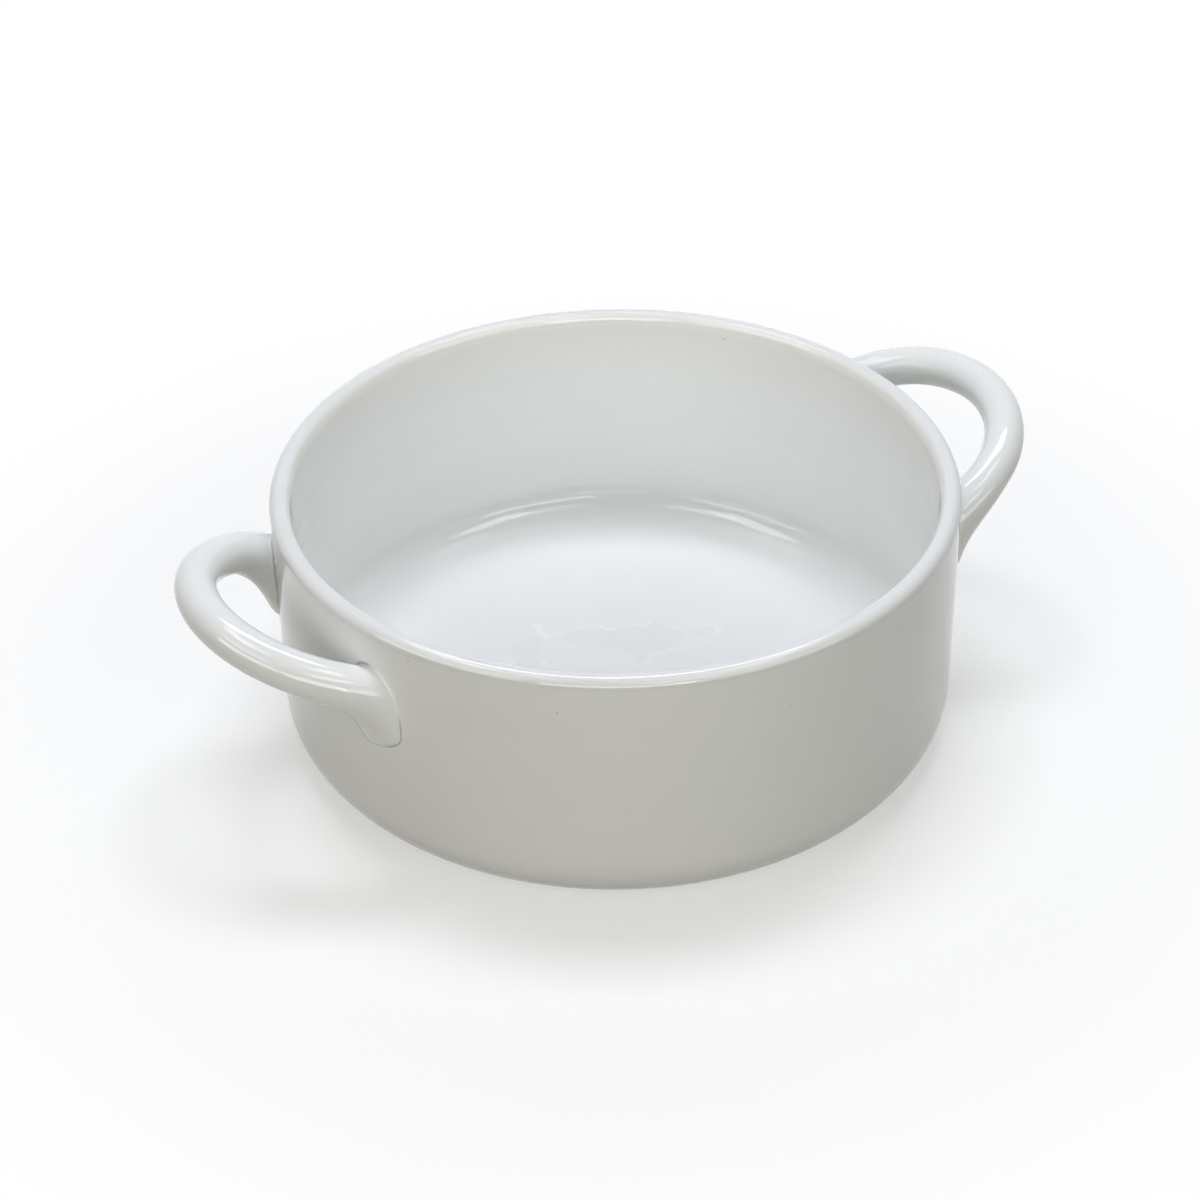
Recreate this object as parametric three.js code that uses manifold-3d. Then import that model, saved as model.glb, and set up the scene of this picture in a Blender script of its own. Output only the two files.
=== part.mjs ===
// Round casserole dish with two loop handles, in millimetres, +Z up.
//
// The origin is on the table, under the middle of the dish. The right handle
// reaches out along +X, the left one along -X, and the front is -Y.
//
// The dish is a thrown bowl with a rounded base corner and a thin rounded lip.
// Each handle is a pulled rod that leaves the wall, loops out and up to the
// level of the rim, and comes back to the wall. Its two ends turn down in a
// long bend, swell and sink into the wall as rounded tails, and each tail is
// bedded on the wall in a thin pad of slip.

import * as THREE from 'three';
import { mergeVertices } from 'three/addons/utils/BufferGeometryUtils.js';
import Module from 'manifold-3d';

// Bowl
const WALL_RADIUS = 100;        // outside of the wall, which stands upright
const HEIGHT = 79.2;            // table to the top of the lip
const WALL = 5.9;               // thickness of the wall
const LIP_OUTER = 2.9;          // rounding of the lip on the outside
const LIP_INNER = 1.9;          // rounding of the lip on the inside
const BASE_CORNER = 14.8;       // outside radius between wall and base
const INNER_CORNER = 15;        // inside radius between wall and floor
const FLOOR = 5;                // thickness of the floor over the recess
const FOOT_WIDTH = 7;           // flat ring that the dish stands on
const FOOT_RECESS = 1.2;        // height of the recessed base inside that ring

// Handles
const ROD_RADIUS = 5.95;        // the rod is round, apart from its tails
const REACH = 26.7;             // middle of the rod beyond the wall, at the tip
const HALF_SPAN = 37.2;         // half the width of the loop, at the middle of the rod
const SETBACK = 5.4;            // centre of the loop's ellipse, inside the face of the wall
const TILT = 21;                // degrees that the loop rises from the wall to its tip
const BEND_ANGLE = 62;          // degrees from the tip to where the loop starts to turn down
const BEND_LEAD = 15.5;         // how far the loop's heading carries on into the bend
const TAIL_DROP = 33;           // rim to the middle of the tail's round end
const TAIL_DRAW = 1.7;          // how far the tail's end is drawn in from the loop's half width
const TAIL_SINK = 5.2;          // middle of the tail's end, inside the face of the wall
const TAIL_LEAD = 10.9;         // how far up from its end the tail keeps the end's heading
const TAIL_LEAN = 18;           // degrees that the tail's end leans into the wall
const TAIL_SPLAY = 14.5;        // degrees that the two tails' ends turn away from each other
const TAIL_LENGTH = 30;         // stretch of the rod over which the tail swells
const TAIL_SPREAD = 4;          // how much wider the tail is to each side, at its end
const TAIL_DEEPEN = 2.7;        // how much deeper the tail is to each side, at its end

// Slip between the handles and the wall
const SLIP = 1;                 // thickness of the pad
const SLIP_BEAD = 1;            // how far the pad is squeezed out round the tail
const GAP = 0.3;                // clearance between neighbouring pieces

// Fineness of the round forms
const AROUND = 72;              // facets round the bowl
const CORNER_STEPS = 4;         // pairs of facets on a large corner
const LIP_STEPS = 2;            // pairs of facets on each rounding of the lip
const ROD_SIDES = 20;           // facets round the rod
const ROD_STEPS = 40;           // rings along the rod
const END_STEPS = 4;            // rings on each round end of the rod
const TAIL_STEPS = 4;           // points that set out the curve of a tail
const LOOP_ANGLES = [20, 40];   // degrees from the tip, points that set out the loop

const glaze = new THREE.MeshStandardMaterial({ color: '#eff1f0', roughness: 0.1, metalness: 0 });
const rodGlaze = new THREE.MeshStandardMaterial({ color: '#eff1f0', roughness: 0.1, metalness: 0 });
const slipGlaze = new THREE.MeshStandardMaterial({ color: '#edeeee', roughness: 0.12, metalness: 0 });

const wasm = await Module();
wasm.setup();

// A geometry with only its positions, shared vertices merged and the
// collapsed triangles at the poles left out.
function cleaned(geometry) {
  const bare = geometry.clone();
  bare.deleteAttribute('normal');
  bare.deleteAttribute('uv');
  const merged = mergeVertices(bare, 1e-4);
  const corners = merged.index.array;
  const kept = [];
  for (let i = 0; i < corners.length; i += 3) {
    const [a, b, c] = [corners[i], corners[i + 1], corners[i + 2]];
    if (a !== b && b !== c && c !== a) {
      kept.push(a, b, c);
    }
  }
  merged.setIndex(kept);
  return merged;
}

function toSolid(geometry) {
  const source = cleaned(geometry);
  const vertProperties = new Float32Array(source.getAttribute('position').array);
  const triVerts = new Uint32Array(source.index.array);
  return new wasm.Manifold(new wasm.Mesh({ numProp: 3, vertProperties, triVerts }));
}

function toGeometry(solid) {
  const mesh = solid.getMesh();
  const geometry = new THREE.BufferGeometry();
  geometry.setAttribute('position', new THREE.BufferAttribute(mesh.vertProperties.slice(), 3));
  geometry.setIndex(new THREE.BufferAttribute(mesh.triVerts.slice(), 1));
  geometry.computeVertexNormals();
  return geometry;
}

// A profile of points (radius, height) turned about the Z axis.
function turned(points) {
  return new THREE.LatheGeometry(points, AROUND).rotateX(Math.PI / 2);
}

// Outline of half the bowl, from the middle of the underside, round the foot,
// wall and lip, and back along the floor to the axis.
function bowlOutline() {
  const footOuter = WALL_RADIUS - BASE_CORNER;
  const footInner = footOuter - FOOT_WIDTH;
  const inside = WALL_RADIUS - WALL;
  const floorTop = FOOT_RECESS + FLOOR;

  const under = new THREE.Path();
  under.moveTo(0, FOOT_RECESS);
  under.lineTo(footInner - FOOT_RECESS, FOOT_RECESS);
  under.lineTo(footInner, 0);
  under.lineTo(footOuter, 0);

  const baseCorner = new THREE.Path();
  baseCorner.absarc(footOuter, BASE_CORNER, BASE_CORNER, -Math.PI / 2, 0);

  const lip = new THREE.Path();
  lip.absarc(WALL_RADIUS - LIP_OUTER, HEIGHT - LIP_OUTER, LIP_OUTER, 0, Math.PI / 2);
  lip.absarc(inside + LIP_INNER, HEIGHT - LIP_INNER, LIP_INNER, Math.PI / 2, Math.PI);

  const innerCorner = new THREE.Path();
  innerCorner.absarc(inside - INNER_CORNER, floorTop + INNER_CORNER, INNER_CORNER, 0, -Math.PI / 2, true);

  const points = [
    ...under.getPoints(),
    ...baseCorner.getPoints(CORNER_STEPS).slice(1),
    ...lip.getPoints(LIP_STEPS),
    ...innerCorner.getPoints(CORNER_STEPS),
    new THREE.Vector2(0, floorTop),
  ];
  return points;
}

// Line along the middle of the right handle's rod. The loop is part of an
// ellipse that lies in a tilted plane. At the bend it goes over into the
// tail, which turns down and runs into the wall.
function rodLine() {
  const tipHeight = HEIGHT - ROD_RADIUS;
  const slope = Math.tan(THREE.MathUtils.degToRad(TILT));
  const depth = REACH + SETBACK;
  const loopPoint = (degrees) => {
    const angle = THREE.MathUtils.degToRad(degrees);
    const inward = depth * (1 - Math.cos(angle));
    const aside = HALF_SPAN * Math.sin(angle);
    return new THREE.Vector3(WALL_RADIUS + REACH - inward, aside, tipHeight - slope * inward);
  };

  const bend = loopPoint(BEND_ANGLE);
  const bendAngle = THREE.MathUtils.degToRad(BEND_ANGLE);
  const fall = depth * Math.sin(bendAngle);
  const heading = new THREE.Vector3(-fall, HALF_SPAN * Math.cos(bendAngle), -slope * fall).normalize();

  const endAside = HALF_SPAN - TAIL_DRAW;
  const endOut = Math.sqrt((WALL_RADIUS - TAIL_SINK) ** 2 - endAside ** 2);
  const end = new THREE.Vector3(endOut, endAside, HEIGHT - TAIL_DROP);
  const lean = THREE.MathUtils.degToRad(TAIL_LEAN);
  const splay = THREE.MathUtils.degToRad(TAIL_SPLAY);
  const down = Math.cos(lean) * Math.cos(splay);
  const leaving = new THREE.Vector3(-Math.sin(lean), Math.cos(lean) * Math.sin(splay), -down);
  leaving.applyAxisAngle(new THREE.Vector3(0, 0, 1), Math.atan2(endAside, endOut));

  const tail = new THREE.CubicBezierCurve3(
    bend,
    bend.clone().addScaledVector(heading, BEND_LEAD),
    end.clone().addScaledVector(leaving, -TAIL_LEAD),
    end,
  );
  const back = [...LOOP_ANGLES.map(loopPoint), ...tail.getPoints(TAIL_STEPS)];
  const front = back.toReversed().map((point) => new THREE.Vector3(point.x, -point.y, point.z));
  return new THREE.CatmullRomCurve3([...front, loopPoint(0), ...back]);
}

// The rod along its line, with round ends, and grown all over by some more.
// Each ring has one axis along the wall and one square to it, so that the
// tails can swell towards the wall.
function rod(line, grow) {
  const lineLength = line.getLength();
  const rings = [];
  const addRing = (step, angle) => {
    const along = step / ROD_STEPS;
    const fromEnd = Math.min(along, 1 - along) * lineLength;
    const tail = 1 - THREE.MathUtils.smoothstep(fromEnd, 0, TAIL_LENGTH);
    const tangent = line.getTangentAt(along);
    const middle = line.getPointAt(along);
    const outward = new THREE.Vector3(middle.x, middle.y, 0);
    const across = tangent.clone().cross(outward).normalize();
    const up = tangent.clone().cross(across);
    middle.addScaledVector(tangent, (ROD_RADIUS + grow) * Math.sin(angle));
    across.multiplyScalar((ROD_RADIUS + TAIL_SPREAD * tail + grow) * Math.cos(angle));
    up.multiplyScalar((ROD_RADIUS + TAIL_DEEPEN * tail + grow) * Math.cos(angle));
    rings.push({ middle, across, up });
  };
  for (let k = END_STEPS; k > 0; k -= 1) {
    addRing(0, (-k / END_STEPS) * (Math.PI / 2));
  }
  for (let step = 0; step <= ROD_STEPS; step += 1) {
    addRing(step, 0);
  }
  for (let k = 1; k <= END_STEPS; k += 1) {
    addRing(ROD_STEPS, (k / END_STEPS) * (Math.PI / 2));
  }

  const positions = [];
  for (const { middle, across, up } of rings) {
    for (let side = 0; side < ROD_SIDES; side += 1) {
      const angle = (side / ROD_SIDES) * 2 * Math.PI;
      const point = middle.clone();
      point.addScaledVector(across, Math.cos(angle));
      point.addScaledVector(up, Math.sin(angle));
      positions.push(...point.toArray());
    }
  }
  const triangles = [];
  const lastRing = (rings.length - 1) * ROD_SIDES;
  for (let side = 0; side < ROD_SIDES; side += 1) {
    const next = (side + 1) % ROD_SIDES;
    for (let ring = 0; ring < lastRing; ring += ROD_SIDES) {
      triangles.push(ring + side, ring + next, ring + ROD_SIDES + next);
      triangles.push(ring + side, ring + ROD_SIDES + next, ring + ROD_SIDES + side);
    }
  }
  const geometry = new THREE.BufferGeometry();
  geometry.setAttribute('position', new THREE.Float32BufferAttribute(positions, 3));
  geometry.setIndex(triangles);
  return geometry;
}

// A full cylinder over the height of the bowl, faceted in step with its wall.
function wallCylinder(radius) {
  const outline = [[0, 0], [radius, 0], [radius, HEIGHT], [0, HEIGHT]];
  return toSolid(turned(outline.map(([r, z]) => new THREE.Vector2(r, z))));
}

const slipInside = WALL_RADIUS + GAP;
const slipOutside = slipInside + SLIP;
const line = rodLine();

const handleSolid = toSolid(rod(line, 0)).subtract(wallCylinder(slipOutside + GAP));
const handleGeometry = toGeometry(handleSolid);

const slipShell = wallCylinder(slipOutside).subtract(wallCylinder(slipInside));
const pads = toSolid(rod(line, SLIP_BEAD)).intersect(slipShell).decompose();
const padGeometries = pads.map(toGeometry);

const dish = new THREE.Group();

const bowl = new THREE.Mesh(cleaned(turned(bowlOutline())), glaze);
bowl.name = 'bowl';
dish.add(bowl);

for (const [name, turn] of [['right', 0], ['left', Math.PI]]) {
  const side = new THREE.Group();
  side.rotation.z = turn;

  const handle = new THREE.Mesh(handleGeometry, rodGlaze);
  handle.name = `${name}_handle`;
  side.add(handle);

  for (const geometry of padGeometries) {
    geometry.computeBoundingBox();
    const middle = geometry.boundingBox.getCenter(new THREE.Vector3()).applyEuler(side.rotation);
    const pad = new THREE.Mesh(geometry, slipGlaze);
    pad.name = `${name}_${middle.y < 0 ? 'front' : 'back'}_slip_joint`;
    side.add(pad);
  }
  dish.add(side);
}

export default dish;
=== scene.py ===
"""Looks of a round casserole dish with two loop handles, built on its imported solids.

The bowl is turned from one rounded outline. Each handle is a rod that follows part of a tilted
ellipse and turns down along the wall, and a fillet of slip runs round the foot of each tail.
Lengths are in metres, in the frame of the solids: +X to the right handle, -Y to the front, +Z up.
"""

import math

import bpy
import numpy as np
from bpy.props import FloatProperty, FloatVectorProperty, PointerProperty
from mathutils import Matrix, Vector


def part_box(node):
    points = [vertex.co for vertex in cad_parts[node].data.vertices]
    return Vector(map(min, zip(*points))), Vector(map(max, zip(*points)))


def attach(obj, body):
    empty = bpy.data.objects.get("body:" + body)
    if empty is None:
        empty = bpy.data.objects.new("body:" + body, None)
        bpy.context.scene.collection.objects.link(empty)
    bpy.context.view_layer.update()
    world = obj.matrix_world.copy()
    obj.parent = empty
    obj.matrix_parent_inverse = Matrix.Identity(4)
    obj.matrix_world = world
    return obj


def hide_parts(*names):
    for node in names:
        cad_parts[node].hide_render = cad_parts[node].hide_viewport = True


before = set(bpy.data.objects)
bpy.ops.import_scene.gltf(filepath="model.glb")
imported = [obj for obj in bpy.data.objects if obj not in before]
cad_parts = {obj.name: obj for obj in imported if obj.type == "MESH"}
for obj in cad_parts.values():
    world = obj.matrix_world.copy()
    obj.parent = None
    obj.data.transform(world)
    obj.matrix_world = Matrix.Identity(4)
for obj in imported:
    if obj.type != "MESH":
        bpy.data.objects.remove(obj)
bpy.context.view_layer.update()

bl_info = {
    "name": "Casserole Dish",
    "version": (1, 0, 0),
    "blender": (4, 5, 0),
    "location": "View3D > Sidebar > Casserole",
    "description": "Builds a glazed casserole dish with loop handles round its packed solids",
    "category": "Add Mesh",
}

MM = 0.001
BOWL_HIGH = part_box("bowl")[1]
BODY = "root"

# Fineness of the meshes
OUTLINE_STEP = 2.0 * MM         # longest straight piece of the bowl's outline
ARC_STEP = math.radians(6)      # longest turn in one piece of an arc
BOWL_SEGMENTS = 256             # facets round the bowl
ROD_SIDES = 64                  # facets round a handle's rod
ROD_ROWS = 700                  # rows of the untrimmed rod
TAIL_ROWS = ROD_ROWS // 4       # points along the bend from the loop to a tail's end
ROD_STEPS = 110                 # rows of the trimmed rod
END_ROWS = 40                   # rows on each round end of the untrimmed rod
END_POINT = 1.6                 # how pointed the round ends are: an ellipse at 1
FILLET_STEPS = 10               # facets across a fillet
FILLET_ROUNDS = 3               # rounds that settle a fillet's radius at its place
FLOOR_SEGMENTS = 96             # sides of the studio floor

# How far the hidden faces of a handle and a fillet lie under the shown ones
HIDDEN_DEPTH = 1.5 * MM

# Part of the tail's drop over which the slip fillet grows from its lower to its upper radius
FILLET_GROWTH = 0.8

# Distance under which two radii are the same
SAME_RADIUS = 1e-9

# The photograph's camera: the frame is square
PHOTO_WIDTH = 1200
TARGET_PIXEL = (616.6, 587.7)   # where the middle of the dish lies in the photograph
FOCAL_PIXELS = 2856.5           # focal length in pixels of the photograph
SENSOR = 36.0                   # millimetres, Blender's usual sensor


def length(name, description, default):
    return FloatProperty(name=name, description=description, default=default,
                         unit="LENGTH", subtype="DISTANCE", precision=4)


def degrees(name, description, default):
    return FloatProperty(name=name, description=description, default=math.radians(default),
                         unit="ROTATION", subtype="ANGLE")


def amount(name, description, default):
    return FloatProperty(name=name, description=description, default=default, subtype="FACTOR",
                         min=0.0, max=1.0)


def colour(name, description, default):
    return FloatVectorProperty(name=name, description=description, default=default, size=3,
                               subtype="COLOR", min=0.0, max=1.0)


class CasseroleBowl(bpy.types.PropertyGroup):
    """Sizes of the turned bowl"""

    wall_radius: length("Wall radius", "Outside of the upright wall", BOWL_HIGH.x)
    height: length("Height", "Table to the top of the lip", BOWL_HIGH.z)
    wall: length("Wall", "Thickness of the wall", 5.9 * MM)
    lip_outer: length("Outer lip", "Rounding of the lip on the outside", 2.9 * MM)
    lip_inner: length("Inner lip", "Rounding of the lip on the inside, across the wall", 1.9 * MM)
    lip_fall: length("Lip fall", "Height over which the inside of the lip is rounded", 4 * MM)
    base_corner: length("Base corner", "Outside radius between wall and base", 14.8 * MM)
    inner_corner: length("Inner corner", "Rounding between wall and floor, along the floor", 16 * MM)
    corner_rise: length("Corner rise", "Rounding between wall and floor, up the wall", 10 * MM)
    floor: length("Floor", "Thickness of the floor over the recess", 5 * MM)
    foot_width: length("Foot width", "Flat ring that the dish stands on", 7 * MM)
    foot_recess: length("Foot recess", "Height of the base inside the foot ring", 1.2 * MM)
    foot_round: length("Foot rounding", "Wear on the inner edge of the foot ring", 0.5 * MM)
    ripple: length("Ripple", "Height of the throwing rings inside the wall", 0.03 * MM)
    ripple_pitch: length("Ripple pitch", "Distance between two throwing rings", 9 * MM)


class CasseroleHandle(bpy.types.PropertyGroup):
    """Sizes of the loop handles"""

    rod_radius: length("Rod radius", "Half the thickness of the rod", 5.95 * MM)
    reach: length("Reach", "Middle of the rod beyond the wall, at the tip", 26.7 * MM)
    half_span: length("Half span", "Half the width of the loop", 37.2 * MM)
    setback: length("Setback", "Centre of the loop's ellipse, inside the face of the wall", 5.4 * MM)
    tilt: degrees("Tilt", "Rise of the loop from the wall to its tip", 21)
    bend_angle: degrees("Bend angle", "From the tip to where the loop starts to turn down", 62)
    bend_lead: length("Bend lead", "How far the loop's heading carries on into the bend", 15.5 * MM)
    tail_drop: length("Tail drop", "Rim to the middle of the tail's round end", 33 * MM)
    tail_draw: length("Tail draw", "How far the tail's end is drawn in from the half span", 1.7 * MM)
    tail_sink: length("Tail sink", "Middle of the tail's end, inside the wall", 5.2 * MM)
    tail_lead: length("Tail lead", "How far up from its end the tail keeps the end's heading", 10.9 * MM)
    tail_lean: degrees("Tail lean", "How the tail's end leans into the wall", 18)
    tail_splay: degrees("Tail splay", "How the two tails' ends turn away from each other", 14.5)
    tail_length: length("Tail length", "Stretch of the rod over which the tail swells", 30 * MM)
    tail_spread: length("Tail spread", "Extra width of the tail to each side, at its end", 4 * MM)
    tail_deepen: length("Tail depth", "Extra depth of the tail to each side, at its end", 2.7 * MM)
    fillet_top: length("Upper fillet", "Radius of the slip fillet over the rod", 0.8 * MM)
    fillet_foot: length("Lower fillet", "Radius of the slip fillet under the tail", 0.4 * MM)


class CasseroleGlaze(bpy.types.PropertyGroup):
    """Colours and gloss of the ware"""

    white: colour("Glaze", "Glaze over the body", (0.87, 0.885, 0.88))
    cloudy: colour("Cloudy glaze", "Glaze where it lies a little thicker", (0.838, 0.858, 0.856))
    warm: colour("Warm glaze", "Glaze under the lip, where the clay shows through", (0.885, 0.868, 0.838))
    # Painted shade in part: the lip is darker than the glaze, from thin glaze and as shading of its top and
    # outer rounding
    lip: colour("Lip glaze", "Glaze over the lip, where it has run thin", (0.80, 0.81, 0.805))
    # Painted highlight in part: the lip's inner edge behind the front is paler than the glaze, over the
    # cream of thin glaze; the run takes this colour too
    thin: colour("Thin glaze", "Glaze where it is thinnest, on the lip's inner edge", (0.95, 0.935, 0.90))
    pool: colour("Pooled glaze", "Glaze where it has run together on the floor", (0.80, 0.83, 0.85))
    pool_edge: colour("Pool edge", "Outline of the pooled glaze", (0.95, 0.95, 0.95))
    # Painted shade: a dark colour along the roots of the handles, where shade falls
    crease_shade: colour("Crease", "Slip in the creases of a handle's root", (0.42, 0.41, 0.39))
    pit: colour("Pit", "Bottom of a pinhole in the glaze", (0.55, 0.53, 0.48))
    bare: colour("Bare clay", "Unglazed clay on the foot ring", (0.74, 0.69, 0.61))
    gloss: amount("Roughness", "Roughness of the glaze", 0.045)
    matt: amount("Bare roughness", "Roughness of the bare clay", 0.75)


class CasseroleStage(bpy.types.PropertyGroup):
    """Floor, light and camera"""

    floor_white: colour("Floor", "Floor as the camera sees it", (0.55, 0.55, 0.55))
    floor_bounce: colour("Floor bounce", "Floor as the dish is lit by it", (0.31, 0.295, 0.255))
    floor_glow: amount("Floor glow", "What the floor adds for the camera, to read as white", 0.45)
    floor_radius: length("Floor radius", "Radius of the floor", 4.0)
    shadow_near: length("Shadow kept", "Radius up to which the floor shows the whole shadow", 0.12)
    shadow_far: length("Shadow gone", "Radius from which the floor is plain white", 0.27)
    sky: amount("Sky", "Level of the soft light from all round", 0.03)
    sky_tint: colour("Sky tint", "Colour of the soft light", (0.96, 0.99, 1.0))
    lamp_distance: length("Lamp distance", "Lamps to the middle of the dish", 1.4)
    distance: length("Camera distance", "Camera to the middle of the dish", 0.85)
    elevation: degrees("Elevation", "Camera above the table", 34.94)
    azimuth: degrees("Azimuth", "Camera to the left of straight ahead", 26.93)
    roll: degrees("Roll", "Turn of the picture", 0.74)


# Sockets of a Mix node that are for colours
MIX_FACTOR = 0
MIX_A = 6
MIX_B = 7
MIX_RESULT = 2


class Wire:
    """One socket of a node tree, so that shader maths reads as Python."""

    def __init__(self, tree, socket=None):
        self.tree = tree
        self.socket = socket

    def node(self, kind, settings, inputs, output=0):
        """Adds a node, sets its settings and then its sockets, and gives one of its outputs."""
        made = self.tree.nodes.new(kind)
        for name, value in settings.items():
            setattr(made, name, value)
        for key, value in inputs.items():
            if isinstance(value, Wire):
                self.tree.links.new(value.socket, made.inputs[key])
            else:
                made.inputs[key].default_value = value
        return Wire(self.tree, made.outputs[output] if made.outputs else None)

    def maths(self, operation, *values):
        return self.node("ShaderNodeMath", {"operation": operation}, dict(enumerate(values)))

    def __add__(self, other):
        return self.maths("ADD", self, other)

    __radd__ = __add__

    def __sub__(self, other):
        return self.maths("SUBTRACT", self, other)

    def __rsub__(self, other):
        return self.maths("SUBTRACT", other, self)

    def __mul__(self, other):
        return self.maths("MULTIPLY", self, other)

    __rmul__ = __mul__

    def __abs__(self):
        return self.maths("ABSOLUTE", self)

    def most(self, other):
        return self.maths("MAXIMUM", self, other)

    def step(self, low, high):
        """0 below low, 1 above high and smooth between them."""
        settings = {"interpolation_type": "SMOOTHSTEP"}
        return self.node("ShaderNodeMapRange", settings, {"Value": self, "From Min": low, "From Max": high})

    def blend(self, colour_a, colour_b):
        """colour_a where this value is 0 and colour_b where it is 1."""
        inputs = {MIX_FACTOR: self, MIX_A: colour_a, MIX_B: colour_b}
        return self.node("ShaderNodeMix", {"data_type": "RGBA"}, inputs, output=MIX_RESULT)


def paint(rgb):
    """A colour as a socket takes it."""
    return (*rgb, 1.0)


def new_tree(name):
    """An empty material, and a wire that adds nodes to it."""
    material = bpy.data.materials.new(name)
    material.use_nodes = True
    material.node_tree.nodes.clear()
    return material, Wire(material.node_tree)


def close_tree(tree, shader):
    """Makes the shader the surface of its material."""
    tree.node("ShaderNodeOutputMaterial", {}, {"Surface": shader})


def axis(place, name):
    """The X, Y or Z of a place."""
    return place.node("ShaderNodeSeparateXYZ", {}, {"Vector": place}, output=name)


def scaled(place, scale):
    """A place with each of its coordinates times its own scale."""
    return place.node("ShaderNodeVectorMath", {"operation": "MULTIPLY"}, {0: place, 1: scale})


def from_origin(place):
    """Distance of a place from the origin."""
    return place.node("ShaderNodeVectorMath", {"operation": "LENGTH"}, {0: place}, output="Value")


def from_axis(place):
    """Distance of a place from the dish's upright axis."""
    return from_origin(scaled(place, (1.0, 1.0, 0.0)))


def noise(place, grains, detail):
    """Noise from 0 to 1, with so many grains to the metre."""
    inputs = {"Vector": place, "Scale": grains, "Detail": detail}
    return place.node("ShaderNodeTexNoise", {}, inputs, output="Fac")


def blob(place, spot, turn, half):
    """Distance from a spot, in half sizes of a blob that is turned about the upright axis."""
    local = place.node("ShaderNodeMapping", {"vector_type": "TEXTURE"}, {
        "Vector": place, "Location": spot, "Rotation": (0.0, 0.0, turn), "Scale": half})
    return from_origin(local)


# The glaze all over: each noise by its grains to the metre and its detail, and each range from
# where a mark starts to where it is full
CLOUDS = (24.0, 3.0)                # patches of thicker glaze
CLOUD_SHARE = 0.5
BANDS = (1.0, 2.0)                  # level bands of thicker glaze, on places scaled by BAND_SCALE
BAND_SCALE = (6.0, 6.0, 130.0)
BAND_SHARE = 0.35
THICK_RANGE = (0.3, 0.7)            # of the clouds and the bands
SPECKS = (900.0, 1.0)
SPECK_RANGE = (0.70, 0.82)
SPECK_SHARE = 0.3
GLOSS_SWING = 0.03                  # how much the roughness changes over the clouds
PEEL = (420.0, 2.0)                 # the fine waves of a fired glaze
PEEL_STRENGTH = 0.03
PEEL_DEPTH = 0.1 * MM
GLAZE_IOR = 1.45

# The inside of the bowl, from the inner face of the wall towards the middle of the lip
INNER_RANGE = (0.6 * MM, 1.8 * MM)

# The warm tone inside, in depths under the rim
WARM_FALL = (26 * MM, 6 * MM)
WARM_SHARE = 0.75

# Pools of glaze on the floor: middle, half length, half width, and turn of the length
POOLS = (
    (11.5 * MM, 16.0 * MM, 20.0 * MM, 7.5 * MM, math.radians(-27)),
    (-17.5 * MM, 25.2 * MM, 8.5 * MM, 4.5 * MM, math.radians(55)),
)
POOL_HALF_HEIGHT = 1.0              # a metre, so that height doesn't count in a pool's outline
POOL_LEVEL = (2 * MM, 5 * MM)       # heights between the underside, which has no pools, and the floor
POOL_SHARE = 0.45
POOL_RANGE = (0.9, 1.05)            # where a pool ends, in half sizes
POOL_WOBBLE = (120.0, 5.0)          # noise that bends a pool's edge
POOL_SWING = 3.0                    # how far it bends it, in half sizes
POOL_EDGE = 0.12                    # width of a pool's pale outline, in half sizes
OUTLINE_SHARE = 0.7
OUTLINE_BREAKS = (160.0, 3.0)       # noise that breaks the outline
OUTLINE_RANGE = (0.42, 0.68)

# Darker glaze over the lip, partly thin glaze and partly painted shade, in depths under the rim, and further
# down on the outside
CREST_FALL = (3.2 * MM, 1.6 * MM)
OUTER_CREST_FALL = (4 * MM, 2 * MM)
CREST_SHARE = 0.85

# A paler, cream inner edge of the lip behind the front of the dish: partly thin glaze and partly a painted
# highlight
LIP_EDGE_RANGE = (-0.5 * MM, 1.0 * MM)      # from the lower end of the lip's inner rounding
LIP_REAR_RANGE = (-85 * MM, -45 * MM)       # from front to back
LIP_EDGE_SHARE = 0.65
LIP_PATCHES = (60.0, 2.0)                   # noise that makes it patchy
LIP_PATCH_RANGE = (0.3, 0.75)
LIP_PATCH_SHARE = 0.3

# A run in it: angle round the dish, depth of its middle under the rim, half sizes across the
# wall, along the rim and upright, and how it ends
RUN_ANGLE = math.radians(34)
RUN_DEPTH = 2 * MM
RUN_HALF = (20 * MM, 17 * MM, 2.2 * MM)
RUN_SWING = 0.6                     # how far the patches bend its edge, in half sizes
RUN_RANGE = (0.6, 1.1)
RUN_SHARE = 0.8

# Pinholes in the wall's glaze: on its inside or not, angle round the dish, height and radius
PINHOLES = (
    (False, math.radians(-126.2), 68.5 * MM, 0.35 * MM),
    (False, math.radians(-89.4), 62.2 * MM, 0.25 * MM),
    (False, math.radians(-150.9), 74.6 * MM, 0.35 * MM),
    (True, math.radians(41.3), 73.8 * MM, 0.35 * MM),
    (True, math.radians(52.2), 63.8 * MM, 0.20 * MM),
)
PINHOLE_RANGE = (0.3, 1.2)          # from its dark middle to the clean glaze, in radii

# The bare foot ring: its height, and how its glaze ends on the inside and on the outside
FOOT_LEVEL = (0.15 * MM, 0.45 * MM)
FOOT_INNER_RANGE = (0.0, 0.4 * MM)
FOOT_OUTER_RANGE = (1.5 * MM, 2.2 * MM)
FOOT_NOISE = (160.0, 2.0)
FOOT_RAGGED = 1.2 * MM

# Painted shade in the creases of a handle's root, on the slip fillet by the wall
CREASE_FADE = 4 * MM                # half the width over which its ends fade
CREASE_WIDTH = 0.8 * MM             # how far it reaches from the wall, inside the loop
CREASE_LOOP_SHARE = 0.8
CREASE_FOOT_SHARE = 0.9


def near_rim(height, bowl, fall):
    """From 0 at the first depth under the rim to 1 at the second."""
    return height.step(bowl.height - fall[0], bowl.height - fall[1])


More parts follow.
